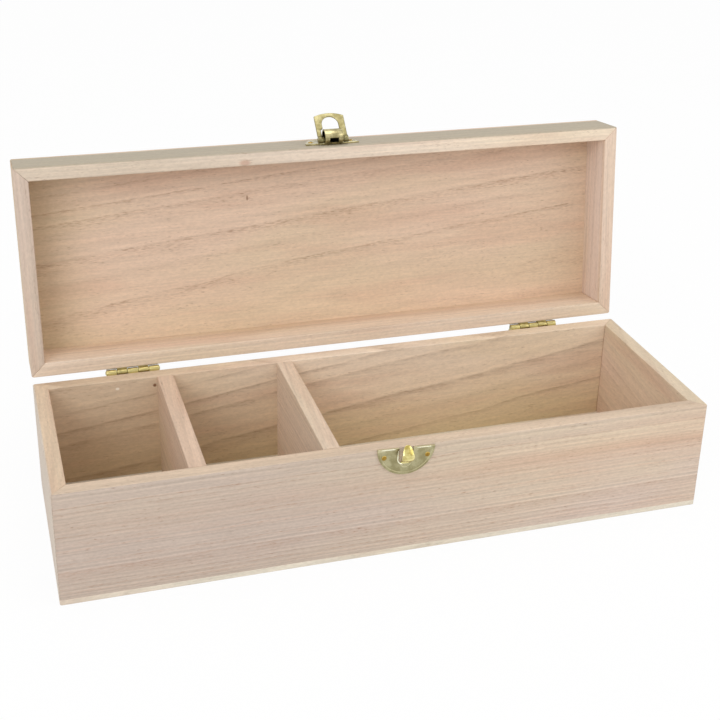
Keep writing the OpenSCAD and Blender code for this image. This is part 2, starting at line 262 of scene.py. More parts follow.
class Graph:
    """Adds and links the nodes of one material or world."""

    def __init__(self, block: Union[bpy.types.Material, bpy.types.World]) -> None:
        """Start with nothing but the output."""
        block.use_nodes = True
        self.block = block
        self.tree = block.node_tree
        self.tree.nodes.clear()
        self.output = self.tree.nodes.new("ShaderNodeOutput" + block.bl_rna.identifier)

    def node(
        self, kind: str, settings: Optional[dict[str, object]] = None, **inputs: Input
    ) -> bpy.types.Node:
        """Add a node.

        Args:
            kind: Type of the node, without its ShaderNode prefix.
            settings: Its properties.
            **inputs: Its inputs by name, with _ for a space, or in_N for input N.

        Returns:
            The new node.
        """
        node = self.tree.nodes.new("ShaderNode" + kind)
        for key, value in (settings or {}).items():
            setattr(node, key, value)
        for key, value in inputs.items():
            place = node.inputs[int(key[3:])] if key.startswith("in_") else node.inputs[key.replace("_", " ")]
            if isinstance(value, bpy.types.NodeSocket):
                self.tree.links.new(value, place)
            else:
                place.default_value = value
        return node

    def sum(self, first: Input, second: Input) -> Socket:
        """Sum of two numbers."""
        return self.math("ADD", first, second)

    def product(self, first: Input, second: Input) -> Socket:
        """Product of two numbers."""
        return self.math("MULTIPLY", first, second)

    def math(self, operation: str, first: Input, second: Input = 0.0) -> Socket:
        """One Math node's value."""
        return self.node("Math", {"operation": operation}, in_0=first, in_1=second).outputs[0]

    def stretch(self, vector: Socket, scale: Sequence[float], offset: Sequence[float] = (0, 0, 0)) -> Socket:
        """Vector times a scale for each axis, plus an offset."""
        inputs = {"in_0": vector, "in_1": tuple(scale), "in_2": tuple(offset)}
        return self.node("VectorMath", {"operation": "MULTIPLY_ADD"}, **inputs).outputs[0]

    def noise(
        self,
        vector: Socket,
        scale: Union[float, Point],
        offset: Sequence[float] = (0, 0, 0),
        detail: float = 2.0,
        rough: float = 0.5,
    ) -> Socket:
        """Noise in space, from 0 to 1.

        Args:
            vector: Place in millimetres.
            scale: How fast it varies, for all axes or for each.
            offset: Added to the stretched place.
            detail: Number of finer layers.
            rough: Strength of each finer layer.

        Returns:
            The noise.
        """
        if not isinstance(scale, float):
            vector, scale = self.stretch(vector, scale, offset), 1.0
        node = self.node("TexNoise", None, Vector=vector, Scale=scale, Detail=detail, Roughness=rough)
        return node.outputs["Fac"]

    def line_noise(self, place: Socket, scale: float, detail: float = 2.0) -> Socket:
        """Noise along a line, from 0 to 1."""
        settings = {"noise_dimensions": "1D"}
        return self.node("TexNoise", settings, W=place, Scale=scale, Detail=detail).outputs["Fac"]

    def step(self, value: Input, low: float, high: float, start: float = 0.0, end: float = 1.0) -> Socket:
        """Smooth step of a value from start at low to end at high."""
        node = self.node("MapRange", {"interpolation_type": "SMOOTHSTEP"}, in_0=value)
        for number, amount in enumerate((low, high, start, end), 1):
            node.inputs[number].default_value = amount
        return node.outputs[0]

    def mix(self, share: Input, first: Input, second: Input, blend: str = "MIX") -> Socket:
        """Mixture of two colours."""
        node = self.node("Mix", {"data_type": "RGBA", "blend_type": blend}, in_0=share)
        for number, value in ((6, first), (7, second)):
            if isinstance(value, bpy.types.NodeSocket):
                self.tree.links.new(value, node.inputs[number])
            else:
                node.inputs[number].default_value = tint(value)
        return node.outputs[2]

    def ramp(self, value: Socket, stops: Sequence[tuple[float, Colour]]) -> Socket:
        """Colours between stops along a value."""
        node = self.node("ValToRGB", None, Fac=value)
        elements = node.color_ramp.elements
        while len(elements) < len(stops):
            elements.new(0.5)
        for element, (position, colour) in zip(elements, stops):
            element.position = position
            element.color = tint(colour)
        return node.outputs["Color"]

    def local(self, place: Matrix) -> Socket:
        """Object coordinates in millimetres, as the board's own length, depth and height.

        Args:
            place: Matrix that put the board in its place, in millimetres.

        Returns:
            The vector in the board's own frame.
        """
        back = place.inverted()
        coordinates = self.node("TexCoord").outputs["Object"]
        mapping = self.node("Mapping", None, Vector=coordinates)
        mapping.inputs["Location"].default_value = back.translation
        mapping.inputs["Rotation"].default_value = back.to_euler("XYZ")
        mapping.inputs["Scale"].default_value = (1 / MM, 1 / MM, 1 / MM)
        return mapping.outputs["Vector"]

    def surface(self, shader: bpy.types.Node) -> Union[bpy.types.Material, bpy.types.World]:
        """Send a shader to the output and return the material or world."""
        self.tree.links.new(shader.outputs[0], self.output.inputs["Surface"])
        return self.block


class Grain(Enum):
    """How fast each noise of the wood varies for a millimetre along, through and across a board."""

    SLOW = (0.011, 0.03, 0.03)
    WAVE = (0.035, 0.07, 0.07)
    BREAK = (0.045, 0.35, 0.35)
    PORE = (0.3, 2.6, 2.6)
    FIBRE = (0.035, 0.95, 0.95)
    CAST = (0.008, 0.02, 0.03)
    BLUSH = (0.01, 0.08, 0.08)
    SPECKLE = (0.42, 0.95, 0.95)


# How the seed moves the noises, how deep the painted shade of the outer face goes, and how deep the upper
# edge's colour goes.
SEED_SHARES = (7.3, 3.1, 5.7)
OUTER_SHADE_SKIN = (0.3, 0.9)
RIM_SKIN = 0.4
# How far the rings wander, how their widths and darkness vary, and how many streaks a ring has.
SLOW_SHARE, WAVE_SHARE = 2.4, 0.8
WIDTH_PACE, WIDTH_REACH = 0.6, 2.2
YEAR_PACE = 0.77
STREAKS = 3.3


@dataclass(frozen=True)
class Knot:
    """Small oval mark in the wood, in its board's own frame, in millimetres."""

    middle: tuple[float, float, float]
    reach: tuple[float, float, float]
    colour: Colour = (132, 92, 66)
    strength: float = 0.7


@dataclass(frozen=True)
class WoodFinish:
    """Bare sanded pale wood, cut from a log with slightly wavy rings."""

    strips: tuple[tuple[float, Colour], ...] = (
        (0.0, (214, 190, 170)),
        (0.5, (218, 194, 172)),
        (1.0, (214, 188, 166)),
    )
    line: Colour = (150, 112, 84)
    line_strength: float = 0.3
    ring_pitch: float = 6.0
    pith: tuple[float, float] = (60.0, -40.0)
    lean: tuple[float, float] = (0.02, 0.05)
    wander: float = 3.0
    fleck: Colour = (128, 88, 62)
    fleck_strength: float = 0.35
    dashed: float = 0.5
    cast: Colour = (214, 198, 162)
    cast_strength: float = 0.3
    blush: Colour = (210, 170, 146)
    blush_strength: float = 0.3
    # Colour towards one end of the board: painted shade on the lid panel and the back wall, a greyer tone
    # elsewhere.
    fade: Colour = (188, 172, 160)
    fade_ends: tuple[float, float] = (-100.0, 140.0)
    fade_strength: float = 0.0
    # Colour over the outer face: painted shade where a board uses it.
    outer: Colour = (176, 166, 146)
    outer_strength: float = 0.0
    rim: Colour = (212, 190, 166)
    rim_strength: float = 0.0
    late_power: float = 3.5
    knots: tuple[Knot, ...] = ()
    streak_depth: float = 0.05
    fibre_depth: float = 0.05
    speckle_depth: float = 0.045
    seed: float = 0.0
    roughness: float = 0.62
    gloss: float = 0.3
    relief: float = 0.06

    def build(self, name: str, place: Matrix, height: float) -> bpy.types.Material:
        """Make the wood of one board.

        The ring number of a point is its distance from the log's axis, which leans a little against
        the board, over the pitch. The late wood darkens with a power of the number's fraction
        and ends sharply, and noise drawn out along the board gives fibres, dashes and flecks.

        Args:
            name: Name of the material.
            place: Matrix that put the board in its place, in millimetres.
            height: Height of the board, across which its strips of colour run.

        Returns:
            The material.
        """
        g = Graph(bpy.data.materials.new(name))
        local = g.local(place)
        axes = g.node("SeparateXYZ", None, Vector=local).outputs
        seed = tuple(self.seed * share for share in SEED_SHARES)

        def noise(grain: Grain, way: int = 1, **settings: float) -> Socket:
            """Noise of one kind, moved by the seed, which is read backwards where way is -1."""
            return g.noise(local, grain.value, seed[::way], **settings)

        slow = g.sum(noise(Grain.SLOW, detail=1.5), -0.5)
        wave = g.sum(noise(Grain.WAVE, -1), -0.5)
        bend = g.sum(g.product(slow, self.wander * SLOW_SHARE), g.product(wave, self.wander * WAVE_SHARE))
        off = [
            g.sum(g.sum(axes[axis], -centre), g.sum(g.product(axes[0], -slant), bend))
            for axis, centre, slant in zip((1, 2), self.pith, self.lean)
        ]
        radius = g.math("SQRT", g.sum(g.product(off[0], off[0]), g.product(off[1], off[1])))
        count = g.product(radius, 1 / self.ring_pitch)
        count = g.sum(count, g.product(g.line_noise(count, WIDTH_PACE, 1), WIDTH_REACH))
        share = g.math("FRACT", count)
        late = g.product(g.math("POWER", share, self.late_power), g.step(share, 0.9, 0.99, 1.0, 0.0))
        year = g.line_noise(g.product(g.math("FLOOR", count), YEAR_PACE), 1.0, 0)
        broken = noise(Grain.BREAK)
        pores = noise(Grain.PORE, -1, detail=1)
        dashes = g.step(pores, 0.42, 0.62, 1 - self.dashed, 1.0)
        late = g.product(g.product(late, dashes), g.step(year, 0.3, 0.6, 0.25, 1.0))
        late = g.product(late, g.step(broken, 0.36, 0.56, 0.4, 1.0))
        streak = g.sum(g.line_noise(radius, STREAKS / self.ring_pitch, 3), -0.5)
        fibre = noise(Grain.FIBRE, detail=4, rough=0.65)
        across = g.sum(g.product(axes[2], 1 / height), g.product(slow, 0.12))
        colour = g.ramp(g.sum(across, g.product(streak, 0.05)), self.strips)
        patches = (
            (g.step(noise(Grain.CAST, detail=1), 0.4, 0.64, 0.0, self.cast_strength), self.cast),
            (g.step(noise(Grain.BLUSH, -1), 0.48, 0.7, 0.0, self.blush_strength), self.blush),
            # Towards one end: painted shade on some boards, a greyer tone on others.
            (g.step(axes[0], *self.fade_ends, self.fade_strength, 0.0), self.fade),
            # Outer face: painted shade.
            (g.step(axes[1], *OUTER_SHADE_SKIN, self.outer_strength, 0.0), self.outer),
            (g.step(axes[2], height - RIM_SKIN, height - RIM_SKIN / 4, 0.0, self.rim_strength), self.rim),
            (g.product(late, self.line_strength), self.line),
        )
        for amount, patch in patches:
            colour = g.mix(amount, colour, patch)
        for knot in self.knots:
            offset = [-centre / half for centre, half in zip(knot.middle, knot.reach)]
            away = g.stretch(local, [1 / half for half in knot.reach], offset)
            away = g.node("VectorMath", {"operation": "LENGTH"}, in_0=away).outputs["Value"]
            colour = g.mix(g.step(away, 0.35, 1.0, knot.strength, 0.0), colour, knot.colour)
        dots = g.product(g.step(pores, 0.64, 0.72), g.step(broken, 0.46, 0.6, 0.1, 1.0))
        colour = g.mix(g.product(dots, self.fleck_strength), colour, self.fleck)
        speckle = noise(Grain.SPECKLE, rough=0.6)
        shades = [
            g.step(value, low, high, 1 - depth, 1 + depth)
            for value, low, high, depth in (
                (fibre, 0.3, 0.7, self.fibre_depth),
                (streak, -0.2, 0.2, self.streak_depth),
                (speckle, 0.3, 0.7, self.speckle_depth),
            )
        ]
        shade = g.product(g.product(shades[0], shades[1]), shades[2])
        grey = g.node("CombineColor", None, Red=shade, Green=shade, Blue=shade).outputs[0]
        colour = g.mix(1.0, colour, grey, "MULTIPLY")
        relief = g.sum(g.sum(fibre, g.product(late, -0.5)), g.product(dots, -0.7))
        bump = g.node("Bump", None, Strength=0.5, Distance=self.relief * MM, Height=relief)
        rough = g.step(fibre, 0.2, 0.8, self.roughness - 0.06, self.roughness + 0.08)
        shader = g.node("BsdfPrincipled", None, Base_Color=colour, Normal=bump.outputs[0], Roughness=rough)
        shader.inputs["Specular IOR Level"].default_value = self.gloss
        return g.surface(shader)


@dataclass(frozen=True)
class MetalFinish:
    """Thin brass plating, duller in soft clouds, with its own colour on sharp edges: partly rubbing, partly
    painted reflection.
    """

    ground: Colour = (186, 178, 138)
    cloud: Colour = (150, 142, 104)
    # Edge colour: rubbed metal and painted reflection, light on most finishes and dark on the loop.
    worn: Colour = (246, 236, 196)
    speck: Colour = (96, 82, 50)
    low_rough: float = 0.24
    high_rough: float = 0.42
    grain: float = 0.5
    relief: float = 0.03
    wear: float = 0.7

    def build(self, name: str) -> bpy.types.Material:
        """Make the metal: clouds and specks are noise in space; the edge colour, partly rubbing and partly
        painted reflection, follows how sharp the surface is.

        Args:
            name: Name of the material.

        Returns:
            The material.
        """
        g = Graph(bpy.data.materials.new(name))
        local = g.local(Matrix.Identity(4))
        clouds = g.noise(local, 0.22, detail=3, rough=0.6)
        grain = g.noise(local, 2.2, rough=0.6)
        scratch = g.noise(local, (0.5, 6.0, 6.0))
        sharp = g.step(g.node("NewGeometry").outputs["Pointiness"], 0.51, 0.58)
        colour = g.mix(g.step(clouds, 0.38, 0.66), self.ground, self.cloud)
        colour = g.mix(g.product(g.step(grain, 0.64, 0.76), 0.4), colour, self.speck)
        # Sharp edges take the edge colour, partly rubbing and partly painted reflection.
        colour = g.mix(g.product(sharp, self.wear), colour, self.worn)
        dull = g.sum(g.product(clouds, 0.7), g.product(grain, 0.3))
        rough = g.step(dull, 0.3, 0.7, self.low_rough, self.high_rough)
        relief = g.sum(g.product(grain, 0.6), g.product(scratch, 0.4))
        bump = g.node("Bump", None, Strength=self.grain, Distance=self.relief * MM, Height=relief)
        shader = g.node("BsdfPrincipled", None, Base_Color=colour, Normal=bump.outputs[0], Roughness=rough)
        shader.inputs["Metallic"].default_value = 1.0
        return g.surface(shader)


def corner_arc(centre: tuple[float, float], radius: float, start: float, steps: int = 4) -> np.ndarray:
    """Quarter circle of a rounded corner: centre plus radius times cosine and sine of the angle.

    Args:
        centre: Centre of the arc.
        radius: Its radius.
        start: Angle in degrees at which it starts.
        steps: Number of steps along it.

    Returns:
        Points shaped (steps + 1, 2).
    """
    angle = np.radians(start + np.linspace(0, 90, steps + 1))
    return np.array(centre) + radius * rays(angle)


def rounded_section(size: tuple[float, float], radii: tuple[float, float, float, float]) -> np.ndarray:
    """Rectangle from (0, 0) with a rounding at each corner, as a closed loop.

    Args:
        size: Its two sides.
        radii: Roundings at the near low, far low, far high and near high corner.

    Returns:
        Points shaped (n, 2).
    """
    wide, high = size
    near_low, far_low, far_high, near_high = radii
    return np.concatenate(
        [
            corner_arc((near_low, near_low), near_low, 180),
            corner_arc((wide - far_low, far_low), far_low, 270),
            corner_arc((wide - far_high, high - far_high), far_high, 0),
            corner_arc((near_high, high - near_high), near_high, 90),
        ]
    )


@dataclass
class Board:
    """One board of a frame, with rounded long edges and, where it is mitred, a rounded corner.

    Its own frame has its length along X, its outer face at Y = 0 and its lower edge at Z = 0. The
    mitre's turns are angles round the corner from its end, with the inner face's slack at each.
    """

    node: str
    length: float
    height: float
    thick: float
    place: Matrix
    round_low: bool = False
    round_high: bool = True
    mitred: bool = True
    ease: float = 0.55
    corner: float = 0.9
    tight: float = 0.08
    middle_rings: int = 13
    mitre_turns: tuple[float, ...] = (45, 45, 34, 22, 11, 0)
    mitre_slack: tuple[float, ...] = (0.05, 0.2, 0.6, 1.0, 1.4, 1.8)
    mitre_pinch: float = 0.12
    end_pinch: float = 0.06

    def shell(self) -> Shell:
        """Work out the board as rings of its section along its length.

        A ring's outer point runs round the corner's quarter circle up to the mitre, its inner point
        stays on the inner face, and a section point at depth d lies between the two, at the share
        d over the thickness. The last ring is drawn in a little, which leaves a fine groove.
        """
        low = self.ease if self.round_low else self.tight
        high = self.ease if self.round_high else self.tight
        section = rounded_section((self.thick, self.height), (low, low, high, high))
        half = self.length / 2
        if self.mitred:
            slack = np.array(self.mitre_slack)
            drawn = self.corner * (1 - rays(np.radians(self.mitre_turns)))
            depth_out, reach_out = drawn[:, 0], half - drawn[:, 1]
            reach_out[:2] -= slack[:2]
            reach_in = half - self.thick - slack
            pinch = np.zeros(len(slack))
            pinch[0] = self.mitre_pinch
        else:
            reach_out = reach_in = np.array([half, half - self.tight])
            depth_out = np.zeros(2)
            pinch = np.array([self.end_pinch, 0])
        middle = np.linspace(-1, 1, self.middle_rings) * (min(reach_out[-1], reach_in[-1]) - 1)
        outer, inner = (np.concatenate([-end, middle, end[::-1]]) for end in (reach_out, reach_in))
        sunk, draw = (np.concatenate([end, middle * 0, end[::-1]]) for end in (depth_out, pinch))
        centre = np.array([self.thick / 2, self.height / 2])
        ring = centre + (section[None] - centre) * (1 - draw[:, None, None] / centre)
        share = ring[..., 0] / self.thick
        along = outer[:, None] * (1 - share) + inner[:, None] * share
        depth = sunk[:, None] * (1 - share) + self.thick * share
        shell = Shell()
        shell.loft(np.stack([along, depth, ring[..., 1]], axis=-1), self.place)
        return shell

    def build(self, body: Body) -> None:
        """Make the board's piece on a body."""
        wood = WOODS[self.node].build(self.node + "_wood", self.place, self.height)
        hang(self.shell().mesh(self.node), self.node, body, Slot.WOOD, wood)


@dataclass
class Panel:
    """Thin panel over a frame, with its outer upper edge rounded; its own frame stands on Z = 0."""

    node: str
    thick: float
    place: Matrix
    ease: float = 0.55
    corner: float = 0.9
    tight: float = 0.1

    def shell(self) -> Shell:
        """Work out the panel as rounded rectangles that rise and, at the edges, draw in.

        The draw-in over the upper edge is the rounding's radius times one minus the cosine of the
        angle, and the rise is the radius times its sine.
        """
        turn = np.radians(np.linspace(0, 90, 5))
        inset = np.concatenate([[self.tight, 0.0], self.ease * (1 - np.cos(turn))])
        rise = np.concatenate([[0.0, self.tight], self.thick - self.ease + self.ease * np.sin(turn)])
        half = np.array([SIZES.width, SIZES.depth]) / 2
        outline = rounded_section(2 * half, (self.corner,) * 4) - half
        flat = outline[None] * (1 - inset[:, None, None] / half)
        height = np.repeat(rise[:, None, None], len(outline), axis=1)
        shell = Shell()
        shell.loft(np.concatenate([flat, height], axis=-1), self.place)
        return shell

    def build(self, body: Body) -> None:
        """Make the panel's piece on a body; the height of the wood's own frame runs across the panel."""
        grain = self.place @ shift(y=SIZES.depth / 2) @ spin(90, "X")
        wood = WOODS[self.node].build(self.node + "_wood", grain, SIZES.depth)
        hang(self.shell().mesh(self.node), self.node, body, Slot.WOOD, wood)


def mitred_frame(names: str, body: Body, base: Matrix, height: float, thick: float) -> None:
    """Make four mitred boards, from the front round to the left.

    Args:
        names: Name of a board, with {} for its side.
        body: Body that they ride on.
        base: Matrix of the middle of the frame's lower side.
        height: Height of the boards.
        thick: Thickness of the boards.
    """
    for side in Side:
        length, across = SIZES.width, SIZES.depth
        if side in (Side.RIGHT, Side.LEFT):
            length, across = across, length
        place = base @ spin(90 * side.value, "Z") @ shift(y=-across / 2)
        board = Board(names.format(side.name.lower()), length, height, thick, place)
        board.round_low = body is Body.LID
        board.round_high = body is Body.BOX
        board.build(body)


@dataclass
class WoodenBody:
    """Body of the box: four mitred walls, two dividers and the bottom panel."""

    divider: float = 8.5
    left_bay: float = 55.5
    middle_bay: float = 55.9

    def build(self) -> None:
        """Make all its boards."""
        base = shift(z=SIZES.bottom)
        height = SIZES.body_height - SIZES.bottom
        mitred_frame("{}_wall", Body.BOX, base, height, SIZES.wall)
        left = -SIZES.width / 2 + SIZES.wall + self.left_bay
        run = SIZES.depth - 2 * SIZES.wall
        for node, start in (("left_divider", left), ("right_divider", left + self.divider + self.middle_bay)):
            place = shift(start, 0.0, SIZES.bottom) @ spin(-90, "Z")
            Board(node, run, height, self.divider, place, mitred=False).build(Body.BOX)
        Panel("bottom_panel", SIZES.bottom, base @ spin(180, "X")).build(Body.BOX)


@dataclass
class WoodenLid:
    """Lid, drawn open: four mitred rails under a thin panel."""

    panel: float = 3.0

    def build(self) -> None:
        """Make all its boards."""
        base = SIZES.open_lid() @ shift(z=SIZES.lid_z)
        height = SIZES.lid_height - self.panel
        mitred_frame("lid_{}_rail", Body.LID, base, height, SIZES.lid_wall)
        Panel("lid_panel", self.panel, base @ shift(z=height)).build(Body.LID)


# How far doubles lie apart in millimetres, and in degrees what is flat and what is sharp in a copied mesh.
DOUBLES = 0.002
FLAT = 0.5
SHARP = 30.0


def softened(node: str, width: float) -> bpy.types.Mesh:
    """Copy of a solid's mesh with its doubles merged, flat faces joined and sharp edges rounded.

    Args:
        node: Name of the node.
        width: Width of the rounding, in millimetres.

    Returns:
        The new mesh.
    """
    work = bmesh.new()
    work.from_mesh(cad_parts[node].data)
    bmesh.ops.remove_doubles(work, verts=work.verts, dist=DOUBLES * MM)
    bmesh.ops.dissolve_limit(
        work, angle_limit=math.radians(FLAT), verts=work.verts, edges=work.edges, delimit={"NORMAL"}
    )
    sharp = [
        edge for edge in work.edges
        if len(edge.link_faces) == 2 and edge.calc_face_angle(0.0) > math.radians(SHARP)
    ]
    bmesh.ops.bevel(
        work, geom=sharp, offset=width * MM, offset_type="OFFSET", segments=2, profile=0.5,
        affect="EDGES", clamp_overlap=True,
    )
    mesh = bpy.data.meshes.new(node)
    work.to_mesh(mesh)
    work.free()
    mesh.shade_smooth()
    mesh.set_sharp_from_angle(angle=math.radians(SMOOTH_COPY))
    return mesh


def merged(first: bpy.types.Mesh, second: Shell, name: str) -> bpy.types.Mesh:
    """Join a mesh and a shell into one mesh.

    Args:
        first: The mesh.
        second: The shell.
        name: Name of the joined mesh.

    Returns:
        The joined mesh.
    """
    other = second.mesh(name + "_lines")
    work = bmesh.new()
    work.from_mesh(first)
    work.from_mesh(other)
    mesh = bpy.data.meshes.new(name)
    work.to_mesh(mesh)
    work.free()
    mesh.shade_smooth()
    mesh.set_sharp_from_angle(angle=math.radians(SMOOTH_COPY))
    return mesh


@dataclass
class Nails:
    """Small round-headed nails of one plate, as bodies of revolution."""

    node: str
    body: Body
    places: list[Matrix]
    shank: float = 0.6
    length: float = 5.5
    taper: float = 1.0
    tip: float = 0.02
    head: float = 1.3
    lip: float = 0.08
    rise: float = 0.45
    top: float = 0.04

    def build(self, material: bpy.types.Material) -> None:
        """Make the nails: the head's radius falls off as a quarter ellipse over its rise.

        Args:
            material: Material of the nails.
        """
        dome = rays(np.radians(np.linspace(0, 84, 6))) * np.array([self.head, self.rise])
        outline = [
            (-self.length, self.tip), (self.taper - self.length, self.shank), (0.0, self.shank),
            (0.0, self.head - self.lip), *dome[:, ::-1], (self.rise, self.top),
        ]
        shell = Shell()
        for place in self.places:
            shell.revolve(outline, place, 28)
        hang(shell.mesh(self.node), self.node, self.body, Slot.NAIL, material)


@dataclass
class Hinges:
    """Two butt hinges on the rear, with leaves, pins and nails."""

    length: float = 27.6
    insets: tuple[float, float] = (51.7, 49.0)
    pin: float = 0.8
    pin_head: float = 1.3
    pin_head_length: float = 0.5
    pin_tip: float = 0.3
    pin_ease: float = 0.06
    leaf: float = 0.8
    leaf_ease: float = 0.14
    nail_inset: float = 5.0
    nail_drop: float = 7.0

    def centres(self) -> tuple[float, float]:
        """Places of the two hinges along the box."""
        return -SIZES.width / 2 + self.insets[0], SIZES.width / 2 - self.insets[1]

    def nail_places(self, way: int) -> list[Matrix]:
        """Places of the nails of one leaf of both hinges on the closed box; way is 1 on the lid."""
        reach = self.length / 2 - self.nail_inset
        back, up = SIZES.depth / 2 + self.leaf, SIZES.pin_z + way * self.nail_drop
        spots = [centre + step for centre in self.centres() for step in (-reach, reach)]
        return [shift(spot, back, up) @ spin(90, "Z") for spot in spots]

    def build(self, metals: dict[str, bpy.types.Material]) -> None:
        """Make both hinges.

        Args:
            metals: The metals by name.
        """
        brass, nail = metals["hinge"], metals["nail"]
        for side in ("left", "right"):
            for leaf, body in (("body_leaf", Body.BOX), ("lid_leaf", Body.LID)):
                node = f"{side}_hinge_{leaf}"
                hang(softened(node, self.leaf_ease), node, body, Slot.BRASS, brass)
        half = self.length / 2
        end = half + self.pin_head_length
        neck = self.pin * 0.9
        far = [(half, self.pin), (half, self.pin_head), (end - self.pin_ease, neck), (end, self.pin_tip)]
        near = [(-along, radius) for along, radius in far[::-1]]
        for side, centre in zip(("left", "right"), self.centres()):
            shell = Shell()
            shell.revolve(near + far, shift(centre, SIZES.pin_y, SIZES.pin_z), 32)
            node = f"{side}_hinge_pin"
            hang(shell.mesh(node), node, Body.BOX, Slot.BRASS, brass)
        lid = SIZES.open_lid()
        Nails("body_hinge_nails", Body.BOX, self.nail_places(-1)).build(nail)
        Nails("lid_hinge_nails", Body.LID, [lid @ place for place in self.nail_places(1)]).build(nail)


@dataclass
class Clasp:
    """Catch plate with its hook, hasp plate with its eye, and the loop between them."""

    radius: float = 14.6
    thick: float = 0.8
    nail_x: float = 11.0
    nail_drop: float = 4.7
    catch_x: float = 1.5
    catch_drop: float = 0.3
    catch_tilt: float = 2.5
    hasp_x: float = 0.6
    hasp_lift: float = 6.0
    line_inset: float = 1.15
    line_radius: float = 0.36
    line_rise: float = 0.1
    line_span: tuple[float, float] = (3.0, 177.0)
    line_taper: float = 0.16
    pivot_lift: float = 5.2
    pivot_out: float = 2.9
    eye_width: float = 9.8
    eye_radius: float = 4.1
    eye_lean: float = 32.0
    pin_fit: float = 0.06
    stub: float = 1.7
    stub_length: float = 2.1
    leg_end: float = 1.95
    leg_gap: float = 0.9
    loop_width: float = 16.4
    loop_length: float = 15.6
    loop_arch: float = 1.7
    loop_thick: float = 0.9
    loop_bar: float = 2.2
    window: float = 9.0
    leg_step: float = 6.0
    loop_swing: float = 128.0
    hook_root: float = 8.6
    hook_bend: float = 2.0
    hook_slope: float = 1.5
    hook_belly: float = 3.5
    hook_lean: float = 60.0
    hook_return: float = 32.0
    hook_tip: float = 3.9
    hook_width: float = 6.6
    hook_neck: float = 4.6
    hook_crown: float = 0.9
    hook_tip_shares: tuple[float, ...] = (0.3, 0.55, 0.75, 0.88, 0.96, 0.995)
    notch_width: float = 7.3
    notch_round: float = 2.6
    ring_radius: float = 2.9
    ring_lift: float = 1.1
    ring_line: float = 0.3
    ring_level: float = 0.2
    ring_span: tuple[float, float] = (196.0, 344.0)
    ring_taper: float = 0.25
    bead_inset: float = 0.46
    bead_rise: float = 0.12
    bead_ends: tuple[float, float] = (0.5, 0.7)
    notch_bead: float = 0.42
    notch_bead_rise: float = 0.2
    notch_bead_top: float = 0.9
    notch_bead_gap: float = 0.3
    plate_ease: float = 0.16
    loop_ease: float = 0.34
    leg_ease: float = 0.3
    loop_corner: float = 160.0

    def catch_place(self) -> Matrix:
        """Matrix of the catch plate's flat edge."""
        spot = shift(self.catch_x, -SIZES.depth / 2, SIZES.body_height - self.catch_drop)
        return spot @ spin(self.catch_tilt, "Y")

    def hasp_place(self) -> Matrix:
        """Matrix of the hasp plate's flat edge on the open lid."""
        return SIZES.open_lid() @ shift(self.hasp_x, -SIZES.depth / 2, SIZES.lid_z + self.hasp_lift)

    def loop_place(self) -> Matrix:
        """Matrix of the loop's pivot, turned so that the loop hangs along its own -Z."""
        spot = shift(self.hasp_x, -SIZES.depth / 2 - self.pivot_out, SIZES.lid_z + self.pivot_lift)
        return SIZES.open_lid() @ spot @ spin(-self.loop_swing, "X")

    def nail_places(self, place: Matrix, way: int) -> list[Matrix]:
        """Places of a plate's two nails; way is 1 above the flat edge and -1 below it."""
        return [
            place @ shift(side * self.nail_x, -self.thick, way * self.nail_drop) @ spin(-90, "Z")
            for side in (-1, 1)
        ]

    @staticmethod
    def tube(
        path: np.ndarray, side: np.ndarray, radius: np.ndarray, level: float, steps: int = 10
    ) -> np.ndarray:
        """Rings of a thin tube that lies along a plate's face.

        A ring's point lies along the ring's side by the radius times the cosine of its angle, and
        out of the face by the radius times the sine.

        Args:
            path: Points of its middle, across and up from the middle of the flat edge.
            side: Unit directions across the path.
            radius: Radius at each point of the path.
            level: Place of its middle along Y.
            steps: Number of points around.

        Returns:
            Rings shaped (rings, points, 3).
        """
        around = radius[:, None, None] * rays(full_turn(steps))
        return standing(path[:, None] + around[..., :1] * side[:, None], level - around[..., 1])

    def raised_line(self, way: int) -> np.ndarray:
        """Rings of the raised line along a plate's curved edge, a half circle tapered at its ends.

        Args:
            way: 1 where the plate stands above its flat edge, -1 where it hangs below.

        Returns:
            Rings shaped (rings, points, 3).
        """
        turn = np.radians(np.linspace(*self.line_span, 57))
        taper = np.minimum(1.0, np.minimum(turn, np.pi - turn) / self.line_taper) ** 0.5
        ray = rays(turn) * np.array([1.0, way])
        level = self.line_radius - self.line_rise - self.thick
        return self.tube((self.radius - self.line_inset) * ray, ray, self.line_radius * taper, level)

    def pressed_ring(self) -> np.ndarray:
        """Rings of the line pressed round the hook's root, along part of a circle."""
        turn = np.radians(np.linspace(*self.ring_span, 31))
        taper = np.minimum(1.0, np.minimum(turn - turn[0], turn[-1] - turn) / self.ring_taper)
        taper = np.sqrt(taper + 0.01)
        path = self.ring_radius * rays(turn) + np.array([0.0, self.ring_lift - self.hook_root])
        return self.tube(path, rays(turn), self.ring_line * taper, self.ring_level - self.thick, 8)

    def bead(self, path: np.ndarray, radius: float, rise: float) -> np.ndarray:
        """Rings of a fine bead on the catch plate's face, tapered at its ends.

        Args:
            path: Points of its middle, across and up from the middle of the flat edge.
            radius: Radius of the tube.
            rise: Height of its top over the plate's face.

        Returns:
            Rings shaped (rings, points, 3).
        """
        way = np.gradient(path, axis=0)
        way = way / np.linalg.norm(way, axis=1, keepdims=True)
        side = np.stack([-way[:, 1], way[:, 0]], axis=1)
        taper = 0.25 + 0.75 * np.sin(np.pi * np.linspace(0, 1, len(path))) ** 0.4
        return self.tube(path, side, radius * taper, radius - rise - self.thick)

